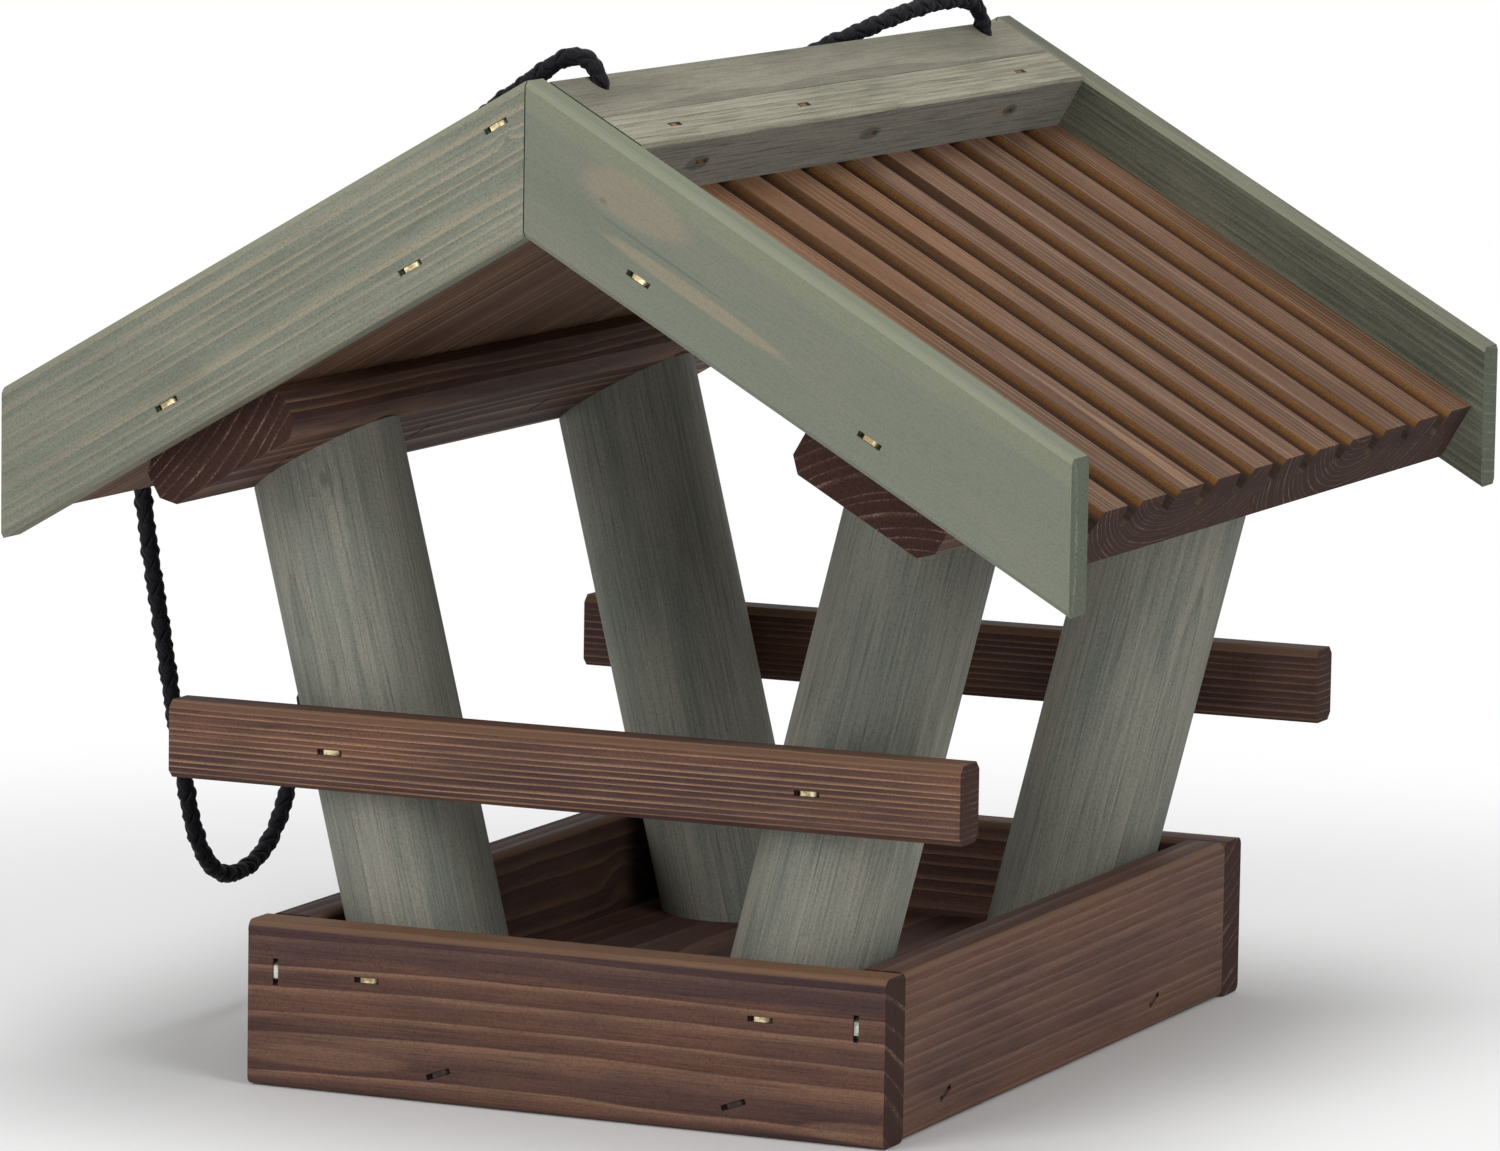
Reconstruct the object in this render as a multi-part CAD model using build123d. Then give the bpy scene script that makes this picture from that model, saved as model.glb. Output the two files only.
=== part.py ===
# Hanging bird feeder: an open tray, four splayed round posts and a grooved gable roof, stapled softwood.
# Millimetres. X runs across the gable, Y along the ridge from front to rear, Z up.
# The origin is the middle of the tray's underside.
import math
import os

from build123d import *

# Tray: two end boards across the front and rear, two side boards between them, a floor inside
tray_width = 176.0
tray_depth = 247.0
tray_board_height = 42.5
tray_board_thickness = 12.5
tray_edge_radius = 2.2
floor_thickness = 15.5
fit_clearance = 0.3

# Round posts, splayed outwards across the gable
post_diameter = 40.0
post_lean = 14.0

# Rails across the posts
rail_length = 218.0
rail_height = 20.0
rail_thickness = 12.0
rail_underside = 77.0
rail_chamfer = 2.0
front_rail_shift = -2.5
rear_rail_shift = 4.0

# Roof: the peak is where the top edges of the bargeboards meet
roof_pitch = 30.0
roof_shift = 2.3
peak_height = 261.5
roof_half_span = 144.5
roof_depth = 311.0
barge_lip = 1.0
barge_thickness = 11.0
barge_chamfer = 1.2
mitre_gap = 0.3

# Grooved roof boards, laid with the grooves running down the slope
roof_board_inset = 15.5
roof_board_thickness = 16.5
eave_setback = 3.3
roof_board_joint = -4.0
groove_pitch = 25.8
first_groove = 23.3
groove_mouth = 10.4
groove_floor = 5.0
groove_depth = 7.0
groove_floor_corner = 1.2
tongue_length = 5.5
tongue_thickness = 4.0
tongue_clearance = 0.25

# Purlins under the roof boards, on the post tops
purlin_width = 43.5
purlin_thickness = 14.0
purlin_chamfer = 3.5
purlin_shift = 1.0

# Ridge: one board on the left slope, bevelled into the right one, and a strip beside it
ridge_board_thickness = 14.0
ridge_board_width = 43.5
ridge_strip_width = 13.0
ridge_chamfer = 0.8

# Rope and its holes
rope_diameter = 4.0
rope_hole_diameter = 5.0
rope_hole_setback = 5.0
rope_hole_front_inset = 22.1
rope_hole_rear_inset = 19.7
rope_sides = 6
knot_radius = 4.2
knot_length = 13.0
knot_bevel = 1.6
knot_sides = 10
knot_clearance = 0.3
knot_seat_drop = 18.7
knot_pocket_clearance = 0.05

# Staples
crown_width = 5.8
wire_width = 1.25
wire_thickness = 1.05
crown_corner = 1.2
leg_length = 25.0
leg_point = 0.7
crown_sink = 0.25
slot_clearance = 0.12
crown_slot_extra = 0.55

# Where the staples are. Shares are of half the tray's width or depth, of the bargeboard's top
# edge and width, and of half the roof's inner depth.
corner_staple_inset = 7.8
upper_staple_height = 29.7
post_staple_shift = 3.0
floor_staple_height = 7.6
floor_staple_across_shares = (-0.386, 0.54)
floor_staple_along_shares = (-0.68, 0.486)
floor_staple_tilt = 20.0
barge_staple_left_shares = ((0.761, 0.742), (0.3, 0.773), (0.0743, 0.182))
barge_staple_right_shares = ((0.725, 0.758), (0.3, 0.758))
strip_top_staple_shares = (-0.789, -0.242, 0.768)
strip_edge_staple_shares = (-0.706, 0.031, 0.678)
ridge_board_staple_shares = (-0.789, 0.055, 0.768)
purlin_roof_staple_shares = (-0.8166, -0.277, 0.2215, 0.8062)
purlin_post_staple_share = 0.4

# One overrun serves all cuts
overrun = 2.0

# The rope's route, from the front knot over the roof and back to the rear knot
rope_route = [
    (6.63, -122.4, 242.8),
    (6.63, -122.4, 250.4),
    (6.8, -122.3, 257.6),
    (6.4, -122.3, 263.0),
    (2.6, -122.2, 267.2),
    (-3.0, -122.0, 266.9),
    (-8.8, -121.6, 263.6),
    (-15.0, -121.0, 258.6),
    (-24.0, -119.5, 251.2),
    (-35.0, -117.0, 243.0),
    (-46.0, -113.5, 232.5),
    (-58.0, -109.5, 217.5),
    (-76.0, -104.0, 203.0),
    (-104.0, -94.0, 186.2),
    (-129.0, -85.5, 172.6),
    (-142.5, -81.8, 164.5),
    (-143.2, -80.5, 150.0),
    (-141.8, -77.4, 128.0),
    (-141.8, -68.2, 100.0),
    (-141.8, -58.6, 68.0),
    (-141.8, -50.2, 46.5),
    (-141.8, -37.0, 35.6),
    (-141.8, -18.5, 35.9),
    (-141.8, -4.0, 43.8),
    (-141.8, 5.0, 61.0),
    (-141.8, 14.0, 94.0),
    (-141.8, 20.5, 126.0),
    (-143.2, 23.0, 149.0),
    (-142.5, 24.2, 164.5),
    (-129.0, 26.0, 172.6),
    (-104.0, 31.5, 186.2),
    (-76.0, 38.0, 203.0),
    (-58.0, 43.0, 217.5),
    (-46.0, 46.5, 232.5),
    (-35.0, 50.0, 243.0),
    (-23.0, 54.5, 251.0),
    (-13.0, 61.0, 257.3),
    (-5.6, 71.0, 261.6),
    (-1.6, 84.0, 264.9),
    (1.2, 98.0, 267.2),
    (3.6, 110.5, 268.2),
    (5.6, 119.5, 267.3),
    (6.5, 124.2, 263.0),
    (6.8, 124.7, 257.6),
    (6.63, 124.8, 250.4),
    (6.63, 124.8, 242.8),
]
arc_share = 0.45

# Sizes worked out from those above
pitch_cos = math.cos(math.radians(roof_pitch))
pitch_sin = math.sin(math.radians(roof_pitch))
pitch_tan = math.tan(math.radians(roof_pitch))
lean_sin = math.sin(math.radians(post_lean))
lean_cos = math.cos(math.radians(post_lean))
lean_tan = math.tan(math.radians(post_lean))
tray_inner_half_width = tray_width / 2 - tray_board_thickness
tray_inner_half_depth = tray_depth / 2 - tray_board_thickness
post_radius = post_diameter / 2
post_row = tray_inner_half_depth - fit_clearance - post_radius
post_foot = tray_inner_half_width - fit_clearance - post_radius / lean_cos - tray_board_height * lean_tan
rail_inner_face = post_row + post_radius + fit_clearance
roof_inner_half_depth = roof_depth / 2 - barge_thickness
roof_board_underside = roof_board_inset + roof_board_thickness
barge_width = roof_board_underside + barge_lip
roof_board_start = roof_board_underside * pitch_tan + mitre_gap
roof_board_end = (roof_half_span - eave_setback + roof_board_inset * pitch_sin) / pitch_cos
purlin_underside = roof_board_underside + purlin_thickness
ridge_top_drop = roof_board_inset - ridge_board_thickness
ridge_bevel_end = roof_board_inset / (2 * pitch_sin * pitch_cos)
rope_hole_offset = rope_hole_setback * pitch_cos
rope_hole_front = rope_hole_front_inset - roof_inner_half_depth
rope_hole_rear = roof_inner_half_depth - rope_hole_rear_inset

# The post's axis meets the purlin's underside this far down the slope
level_under_peak = peak_height - purlin_underside / pitch_cos
post_head = (post_foot + lean_tan * level_under_peak) / (1 + lean_tan * pitch_tan)
purlin_middle = (post_head + purlin_underside * pitch_sin) / pitch_cos + purlin_shift

# The knot touches neither the ridge board above it nor the ridge strip beside it
knot_along = ridge_bevel_end - knot_radius - knot_clearance
knot_under = roof_board_inset + knot_radius + knot_clearance
knot_offset = (knot_along * pitch_cos - knot_under * pitch_sin) / (pitch_cos**2 - pitch_sin**2)
knot_drop = (knot_under * pitch_cos - knot_along * pitch_sin) / (pitch_cos**2 - pitch_sin**2)

front = -1
rear = 1
left = -1
right = 1


def roof_point(side, along, normal, y=0):
    """A point at a distance down one slope from the peak and a height square to that slope."""
    x = roof_shift + side * (along * pitch_cos + normal * pitch_sin)
    z = peak_height - along * pitch_sin + normal * pitch_cos
    return Vector(x, y, z)


def prism(points, y_start, y_end):
    """A solid with an outline across the gable, running along the ridge direction."""
    corners = [(point.X, point.Z) for point in points]
    face = make_face(Polyline(*corners, close=True))
    plane = Plane(origin=(0, y_end, 0), x_dir=(1, 0, 0), z_dir=(0, -1, 0))
    return extrude(plane * face, amount=y_end - y_start)


def edges_along(part, direction):
    """The straight edges of a part that run in one direction."""
    return part.edges().filter_by(lambda edge: abs(edge.tangent_at(0.5).dot(direction)) > 0.999)


def mirror_roof(part):
    """The same piece on the left slope."""
    return mirror(part, about=Plane.YZ.offset(roof_shift))


def end_board(end):
    """Front or rear board of the tray, covering the ends of the side boards."""
    board = Box(tray_width, tray_board_thickness, tray_board_height, align=(Align.CENTER, Align.CENTER, Align.MIN))
    board = fillet(edges_along(board, Vector(1, 0, 0)), tray_edge_radius)
    return Pos(0, end * (tray_depth - tray_board_thickness) / 2, 0) * board


def side_board(side):
    """Left or right board of the tray, between the end boards."""
    length = 2 * tray_inner_half_depth
    board = Box(tray_board_thickness, length, tray_board_height, align=(Align.CENTER, Align.CENTER, Align.MIN))
    board = fillet(edges_along(board, Vector(0, 1, 0)), tray_edge_radius)
    return Pos(side * (tray_width - tray_board_thickness) / 2, 0, 0) * board


def tray_floor():
    """Floor panel inside the tray, flush with the underside of the boards."""
    return Box(
        2 * tray_inner_half_width,
        2 * tray_inner_half_depth,
        floor_thickness,
        align=(Align.CENTER, Align.CENTER, Align.MIN),
    )


def post(side, end):
    """Round post, cut level at the foot and to the roof slope at the top."""
    axis = Vector(side * lean_sin, 0, lean_cos)
    foot = Plane(origin=(side * post_foot, end * post_row, 0), z_dir=axis)
    pole = extrude(foot * Circle(post_radius), amount=peak_height)
    floor_cut = Plane(origin=(0, 0, floor_thickness), z_dir=(0, 0, 1))
    pole = split(pole, bisect_by=floor_cut, keep=Keep.TOP)
    roof_normal = Vector(side * pitch_sin, 0, pitch_cos)
    roof_cut = Plane(origin=roof_point(side, 0, -purlin_underside), z_dir=roof_normal)
    return split(pole, bisect_by=roof_cut, keep=Keep.BOTTOM)


def rail(end, shift):
    """Perch rail across the outside of two posts."""
    bar = Box(rail_length, rail_thickness, rail_height, align=(Align.CENTER, Align.CENTER, Align.MIN))
    bar = chamfer(edges_along(bar, Vector(1, 0, 0)), rail_chamfer)
    return Pos(shift, end * (rail_inner_face + rail_thickness / 2), rail_underside) * bar


def bargeboard(end):
    """Right bargeboard, cut plumb at the peak mitre and at the eave."""
    end_x = roof_half_span
    top = peak_height
    plumb_height = barge_width / pitch_cos
    start_x = mitre_gap / 2
    outline = [
        Vector(roof_shift + start_x, 0, top - start_x * pitch_tan),
        Vector(roof_shift + end_x, 0, top - end_x * pitch_tan),
        Vector(roof_shift + end_x, 0, top - end_x * pitch_tan - plumb_height),
        Vector(roof_shift + start_x, 0, top - start_x * pitch_tan - plumb_height),
    ]
    y_outer = end * roof_depth / 2
    y_inner = end * roof_inner_half_depth
    board = prism(outline, min(y_outer, y_inner), max(y_outer, y_inner))
    slope = Vector(pitch_cos, 0, -pitch_sin)
    return chamfer(edges_along(board, slope), barge_chamfer)


def groove(middle):
    """Section of one groove in a roof board, with sloping walls and eased corners at its floor."""
    outline = [
        (-groove_mouth / 2, 0),
        (groove_mouth / 2, 0),
        (groove_floor / 2, -groove_depth),
        (-groove_floor / 2, -groove_depth),
    ]
    section = make_face(Polyline(*outline, close=True))
    section = chamfer(section.vertices().group_by(Axis.Y)[0], groove_floor_corner)
    return Pos(middle, 0) * section


def roof_board(end):
    """Grooved board of the right slope. The rear one has a tongue, the front one takes it."""
    outer = end * roof_inner_half_depth
    width = abs(outer - roof_board_joint)
    board_middle = (outer + roof_board_joint) / 2
    section = Pos(board_middle, 0) * Rectangle(width, roof_board_thickness, align=(Align.CENTER, Align.MAX))
    section -= groove(roof_board_joint)
    count = 1 + int((width - first_groove - groove_mouth / 2) / groove_pitch)
    for step in range(count):
        section -= groove(roof_board_joint + end * (first_groove + step * groove_pitch))
    tongue_middle = -(groove_depth + roof_board_thickness) / 2
    if end == rear:
        tongue = Rectangle(tongue_length, tongue_thickness, align=(Align.MAX, Align.CENTER))
        section += Pos(roof_board_joint, tongue_middle) * tongue
    else:
        hollow = Rectangle(
            tongue_length + 2 * tongue_clearance,
            tongue_thickness + 2 * tongue_clearance,
            align=(Align.MAX, Align.CENTER),
        )
        section -= Pos(roof_board_joint, tongue_middle) * hollow
        shoulder = Rectangle(tongue_clearance, roof_board_thickness, align=(Align.MAX, Align.MAX))
        section -= Pos(roof_board_joint, 0) * shoulder
    plane = Plane(
        origin=roof_point(right, roof_board_start, -roof_board_inset),
        x_dir=(0, 1, 0),
        z_dir=(pitch_cos, 0, -pitch_sin),
    )
    return extrude(plane * section, amount=roof_board_end - roof_board_start)


def purlin():
    """Right purlin, a flat board with bevelled edges under the roof boards."""
    near = purlin_middle - purlin_width / 2
    far = purlin_middle + purlin_width / 2
    top = -roof_board_underside
    bottom = -purlin_underside
    outline = [
        roof_point(right, near, top - purlin_chamfer),
        roof_point(right, near + purlin_chamfer, top),
        roof_point(right, far - purlin_chamfer, top),
        roof_point(right, far, top - purlin_chamfer),
        roof_point(right, far, bottom + purlin_chamfer),
        roof_point(right, far - purlin_chamfer, bottom),
        roof_point(right, near + purlin_chamfer, bottom),
        roof_point(right, near, bottom + purlin_chamfer),
    ]
    return prism(outline, -roof_inner_half_depth, roof_inner_half_depth)


def ridge_board():
    """Board on the left slope whose upper edge is bevelled flush with the right slope."""
    crest = ridge_top_drop / (2 * pitch_sin * pitch_cos)
    outline = [
        roof_point(right, crest, 0),
        roof_point(right, ridge_bevel_end, 0),
        roof_point(left, ridge_board_width, -roof_board_inset),
        roof_point(left, ridge_board_width, -ridge_top_drop),
    ]
    board = prism(outline, -roof_inner_half_depth, roof_inner_half_depth)
    lower_edge = edges_along(board, Vector(0, 1, 0)).sort_by(Axis.X)[:1]
    board = chamfer(lower_edge, ridge_chamfer)
    for y in (rope_hole_front, rope_hole_rear):
        hole = Pos(roof_shift + rope_hole_offset, y, peak_height) * Cylinder(
            rope_hole_diameter / 2, 2 * (knot_drop + overrun)
        )
        board -= hole
    return board


def ridge_strip():
    """Strip on the right slope that closes the ridge beside the bevel."""
    near = ridge_bevel_end + mitre_gap / 2
    far = near + ridge_strip_width
    outline = [
        roof_point(right, near, 0),
        roof_point(right, far - ridge_chamfer, 0),
        roof_point(right, far, -ridge_chamfer),
        roof_point(right, far, -roof_board_inset),
        roof_point(right, near, -roof_board_inset),
    ]
    return prism(outline, -roof_inner_half_depth, roof_inner_half_depth)


def rope():
    """Rope tube on straight runs joined by arcs as large as the runs allow."""
    points = [Vector(*place) for place in rope_route]
    runs = [(b - a).length for a, b in zip(points, points[1:])]
    radii = []
    for i in range(1, len(points) - 1):
        turn = (points[i] - points[i - 1]).get_angle(points[i + 1] - points[i])
        radii.append(arc_share * min(runs[i - 1], runs[i]) / math.tan(math.radians(turn / 2)))
    path = FilletPolyline(*points, radius=radii)
    start = Plane(origin=points[0], z_dir=points[1] - points[0])
    outline = start * RegularPolygon(rope_diameter / 2, rope_sides)
    tube = sweep(outline, path=path)
    print("rope radii", [round(radius, 1) for radius in radii])
    print("rope runs", [round(run, 1) for run in runs])
    section = outline.area
    print("rope length", round(path.length, 1), "volume", tube.volume, "section x length", section * path.length)
    return tube


def knot(y):
    """Barrel knot in the hollow under the ridge board, with a seat for the rope's end."""
    body = extrude(Plane.XZ * RegularPolygon(knot_radius, knot_sides), amount=knot_length / 2, both=True)
    body = chamfer(body.edges().filter_by(Axis.Y, reverse=True), knot_bevel)
    body = Pos(roof_shift + knot_offset, y, peak_height - knot_drop) * body
    seat = Pos(roof_shift + rope_hole_offset, y, peak_height - knot_seat_drop) * Cylinder(
        rope_diameter / 2 + knot_pocket_clearance, knot_radius, align=(Align.CENTER, Align.CENTER, Align.MIN)
    )
    return body - seat


def staple():
    """One staple with its crown's top at the origin and its legs pointing down."""
    outer = Rectangle(crown_width, leg_length, align=(Align.CENTER, Align.MAX))
    outer = chamfer(outer.vertices().group_by(Axis.Y)[-1], crown_corner)
    outer = chamfer(outer.vertices().group_by(Axis.Y)[0], leg_point)
    inside = Rectangle(crown_width - 2 * wire_thickness, leg_length, align=(Align.CENTER, Align.MAX))
    shape = outer - Pos(0, -wire_thickness, 0) * inside
    upright = Plane(origin=(0, 0, -crown_sink), x_dir=(1, 0, 0), z_dir=(0, -1, 0))
    return extrude(upright * shape, amount=wire_width / 2, both=True)


def staple_slot():
    """Cut for one staple: an open slot for the crown and a bore for each leg."""
    width = wire_width + 2 * slot_clearance
    crown = Box(
        crown_width + 2 * crown_slot_extra,
        width,
        crown_sink + wire_thickness + slot_clearance + overrun,
        align=(Align.CENTER, Align.CENTER, Align.MAX),
    )
    cut = Pos(0, 0, overrun) * crown
    for side in (left, right):
        leg = Box(
            wire_thickness + 2 * slot_clearance,
            width,
            crown_sink + leg_length + slot_clearance,
            align=(Align.CENTER, Align.CENTER, Align.MAX),
        )
        cut += Pos(side * (crown_width - wire_thickness) / 2, 0, 0) * leg
    return cut


def staple_places():
    """Every staple's plane: origin on the wood, X along the crown, Z out of the wood."""
    places = {}
    along_x, along_z = Vector(1, 0, 0), Vector(0, 0, 1)
    post_staple_offset = post_foot + upper_staple_height * lean_tan + post_staple_shift
    places["tray_corner_staples"] = [
        Plane(
            origin=(side * (tray_width / 2 - corner_staple_inset), end * tray_depth / 2, upper_staple_height),
            x_dir=along_z,
            z_dir=(0, end, 0),
        )
        for side in (left, right)
        for end in (front, rear)
    ]
    places["tray_post_staples"] = [
        Plane(
            origin=(side * post_staple_offset, end * tray_depth / 2, upper_staple_height),
            x_dir=along_x,
            z_dir=(0, end, 0),
        )
        for side in (left, right)
        for end in (front, rear)
    ]
    tilted = math.radians(floor_staple_tilt)
    tilt_cos, tilt_sin = math.cos(tilted), math.sin(tilted)
    floor_places = [
        Plane(
            origin=(share * tray_width / 2, end * tray_depth / 2, floor_staple_height),
            x_dir=(tilt_cos, 0, tilt_sin),
            z_dir=(0, end, 0),
        )
        for share in floor_staple_across_shares
        for end in (front, rear)
    ]
    floor_places += [
        Plane(
            origin=(side * tray_width / 2, share * tray_depth / 2, floor_staple_height),
            x_dir=(0, tilt_cos, tilt_sin),
            z_dir=(side, 0, 0),
        )
        for share in floor_staple_along_shares
        for side in (left, right)
    ]
    places["tray_floor_staples"] = floor_places
    rail_middle = rail_underside + rail_height / 2
    rail_staple_offset = post_foot + rail_middle * lean_tan
    places["rail_staples"] = [
        Plane(
            origin=(side * rail_staple_offset, end * (rail_inner_face + rail_thickness), rail_middle),
            x_dir=along_x,
            z_dir=(0, end, 0),
        )
        for side in (left, right)
        for end in (front, rear)
    ]
    barge_length = roof_half_span / pitch_cos
    places["bargeboard_staples"] = [
        Plane(
            origin=roof_point(side, along * barge_length, -across * barge_width, end * roof_depth / 2),
            x_dir=(side * pitch_cos, 0, -pitch_sin),
            z_dir=(0, end, 0),
        )
        for side, shares in ((left, barge_staple_left_shares), (right, barge_staple_right_shares))
        for along, across in shares
        for end in (front, rear)
    ]
    ridge_board_hold = (roof_board_start + ridge_board_width) / 2
    strip_middle = ridge_bevel_end + ridge_strip_width / 2
    strip_far = ridge_bevel_end + mitre_gap / 2 + ridge_strip_width
    ridge_places = [
        Plane(
            origin=roof_point(right, strip_middle, 0, share * roof_inner_half_depth),
            x_dir=(0, 1, 0),
            z_dir=(pitch_sin, 0, pitch_cos),
        )
        for share in strip_top_staple_shares
    ]
    ridge_places += [
        Plane(
            origin=roof_point(right, strip_far, -roof_board_inset / 2, share * roof_inner_half_depth),
            x_dir=(0, 1, 0),
            z_dir=(pitch_cos, 0, -pitch_sin),
        )
        for share in strip_edge_staple_shares
    ]
    ridge_places += [
        Plane(
            origin=roof_point(left, ridge_board_hold, -ridge_top_drop, share * roof_inner_half_depth),
            x_dir=(0, 1, 0),
            z_dir=(-pitch_sin, 0, pitch_cos),
        )
        for share in ridge_board_staple_shares
    ]
    places["ridge_staples"] = ridge_places
    places["purlin_roof_staples"] = [
        Plane(
            origin=roof_point(side, purlin_middle, -purlin_underside, share * roof_inner_half_depth),
            x_dir=(side * pitch_cos, 0, -pitch_sin),
            z_dir=(-side * pitch_sin, 0, -pitch_cos),
        )
        for side in (left, right)
        for share in purlin_roof_staple_shares
    ]
    places["purlin_post_staples"] = [
        Plane(
            origin=roof_point(side, purlin_middle, -roof_board_underside, end * post_row + shift),
            x_dir=(side * pitch_cos, 0, -pitch_sin),
            z_dir=(side * pitch_sin, 0, pitch_cos),
        )
        for side in (left, right)
        for end in (front, rear)
        for shift in (-purlin_post_staple_share * post_radius, purlin_post_staple_share * post_radius)
    ]
    return places


def build():
    """Every piece of the feeder by name."""
    parts = {
        "tray_front_board": end_board(front),
        "tray_rear_board": end_board(rear),
        "tray_left_board": side_board(left),
        "tray_right_board": side_board(right),
        "tray_floor": tray_floor(),
        "post_front_left": post(left, front),
        "post_front_right": post(right, front),
        "post_rear_left": post(left, rear),
        "post_rear_right": post(right, rear),
        "rail_front": rail(front, front_rail_shift),
        "rail_rear": rail(rear, rear_rail_shift),
        "ridge_board": ridge_board(),
        "ridge_strip": ridge_strip(),
    }
    for end, word in ((front, "front"), (rear, "rear")):
        parts["bargeboard_%s_right" % word] = bargeboard(end)
        parts["bargeboard_%s_left" % word] = mirror_roof(bargeboard(end))
        parts["roof_board_%s_right" % word] = roof_board(end)
        parts["roof_board_%s_left" % word] = mirror_roof(roof_board(end))
    parts["purlin_right"] = purlin()
    parts["purlin_left"] = mirror_roof(purlin())

    wood = list(parts)
    one_staple, one_slot = staple(), staple_slot()
    for group, planes in staple_places().items():
        places = [plane.location for plane in planes]
        parts[group] = Compound(children=[place * one_staple for place in places])
        for place in places:
            slot = place * one_slot
            near = slot.bounding_box()
            for name in wood:
                box = parts[name].bounding_box()
                apart = any(
                    high < low
                    for high, low in (
                        (box.max.X, near.min.X),
                        (box.max.Y, near.min.Y),
                        (box.max.Z, near.min.Z),
                        (near.max.X, box.min.X),
                        (near.max.Y, box.min.Y),
                        (near.max.Z, box.min.Z),
                    )
                )
                if not apart:
                    parts[name] -= slot

    parts["hanging_rope"] = rope()
    parts["rope_knot_front"] = knot(rope_hole_front)
    parts["rope_knot_rear"] = knot(rope_hole_rear)
    return parts


os.makedirs("parts", exist_ok=True)
for name, part in build().items():
    export_step(part, "parts/%s.step" % name)
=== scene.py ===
# A hanging bird feeder of stained pine: brown tray, rails, purlins and grooved roof boards,
# green-grey posts, bargeboards and ridge pieces, wire staples and a black braided rope.
import math

import bpy
from mathutils import Matrix, Vector


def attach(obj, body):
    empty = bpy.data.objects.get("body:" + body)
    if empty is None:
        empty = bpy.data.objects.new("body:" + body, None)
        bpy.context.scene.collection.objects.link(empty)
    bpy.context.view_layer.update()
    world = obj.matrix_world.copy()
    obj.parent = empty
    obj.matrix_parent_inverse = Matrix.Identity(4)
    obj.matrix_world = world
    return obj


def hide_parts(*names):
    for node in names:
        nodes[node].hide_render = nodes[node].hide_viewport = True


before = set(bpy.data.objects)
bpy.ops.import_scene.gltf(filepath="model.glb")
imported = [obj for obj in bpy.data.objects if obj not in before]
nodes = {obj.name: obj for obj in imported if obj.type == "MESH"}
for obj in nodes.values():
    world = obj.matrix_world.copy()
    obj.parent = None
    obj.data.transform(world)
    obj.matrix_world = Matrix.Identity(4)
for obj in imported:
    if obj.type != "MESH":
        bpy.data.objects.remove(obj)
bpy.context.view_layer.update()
bpy.ops.object.select_all(action="DESELECT")

# Sizes in metres, as the woodwork has them
MM = 0.001
ROPE_DIAMETER = 4.0 * MM
ROPE_STRANDS_EACH_WAY = 3
BRAID_PITCH = 20.0 * MM
ROOF_PITCH = math.radians(30)
POST_LEAN = math.radians(14)


def linear(hex_colour):
    """An sRGB hex colour as the linear RGBA that shaders take."""
    channels = [int(hex_colour[i : i + 2], 16) / 255 for i in (1, 3, 5)]
    return [c / 12.92 if c <= 0.04045 else ((c + 0.055) / 1.055) ** 2.4 for c in channels] + [1.0]


def add(tree, kind, settings=None, **links):
    """Adds a shader node. settings holds its properties, its unlinked inputs by name or number, and
    the stops of a colour ramp. links holds the sources by input name, or i and the input's number,
    and a node as source stands for its first output. By number, Map Range reads from 1 to 2 and
    gives from 3 to 4, and Mix has its factor at 0, its colours at 6 and 7 and gives output 2."""
    node = tree.nodes.new(kind)
    for name, value in (settings or {}).items():
        if name == "stops":
            elements = node.color_ramp.elements
            while len(elements) < len(value):
                elements.new(0.5)
            for element, (place, colour) in zip(elements, value):
                element.position = place
                element.color = linear(colour)
        elif isinstance(name, int) or name in node.inputs:
            node.inputs[name].default_value = value
        else:
            setattr(node, name, value)
    for name, source in links.items():
        key = int(name[1:]) if name[0] == "i" and name[1:].isdigit() else name.replace("_", " ")
        output = source.outputs[0] if isinstance(source, bpy.types.Node) else source
        tree.links.new(output, node.inputs[key])
    return node


def new_material(name):
    """An empty material with an output and a principled shader."""
    material = bpy.data.materials.new(name)
    material.use_nodes = True
    tree = material.node_tree
    tree.nodes.clear()
    shader = tree.nodes.new("ShaderNodeBsdfPrincipled")
    output = tree.nodes.new("ShaderNodeOutputMaterial")
    tree.links.new(shader.outputs["BSDF"], output.inputs["Surface"])
    return material, tree, shader


# Stained pine. A thin water-based stain lets the growth rings through: soft early wood soaks
# the colour up, hard late wood stays lighter and shines a little more. The rings are drawn in
# the solid, as cylinders round a pith line, so faces, edges and end grain belong together.
# In each stain, dark, middle and pale are for how much the wood soaked up, early and late for
# the two parts of a ring, edge for planed bevels, side for a sawn side, and end and end_late for
# end grain. The late wood starts at late_from in the ring and is full from late_full, uneven is
# how much the rings' widths vary, fibre and fuzz say how much of these shows, and shine is the
# specular level.
BROWN_STAIN = {
    "dark": "#482f2c",
    "middle": "#5c4037",
    "pale": "#694839",
    "early": "#452c28",
    "late": "#906b54",
    "late_from": 0.62,
    "late_full": 0.92,
    "uneven": 2.2,
    "edge": "#785c48",
    "side": None,
    "end": "#38231d",
    "end_late": "#80645a",
    "fibre": 0.7,
    "fuzz": 0.7,
    "shine": 0.28,
}
STREAKED_BROWN_STAIN = {
    **BROWN_STAIN,
    "pale": "#714d3c",
    "early": "#452c2a",
    "late": "#ab8566",
    "late_from": 0.6,
    "uneven": 1.0,
}
ROOF_STAIN = {
    **BROWN_STAIN,
    "dark": "#5a3e28",
    "middle": "#6d4d38",
    "pale": "#7d5d48",
    "early": "#4f3524",
    "late": "#9b7859",
    "late_from": 0.7,
    "edge": None,
    "end": "#2c1812",
    "end_late": "#846359",
    "fibre": 0.85,
}
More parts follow.
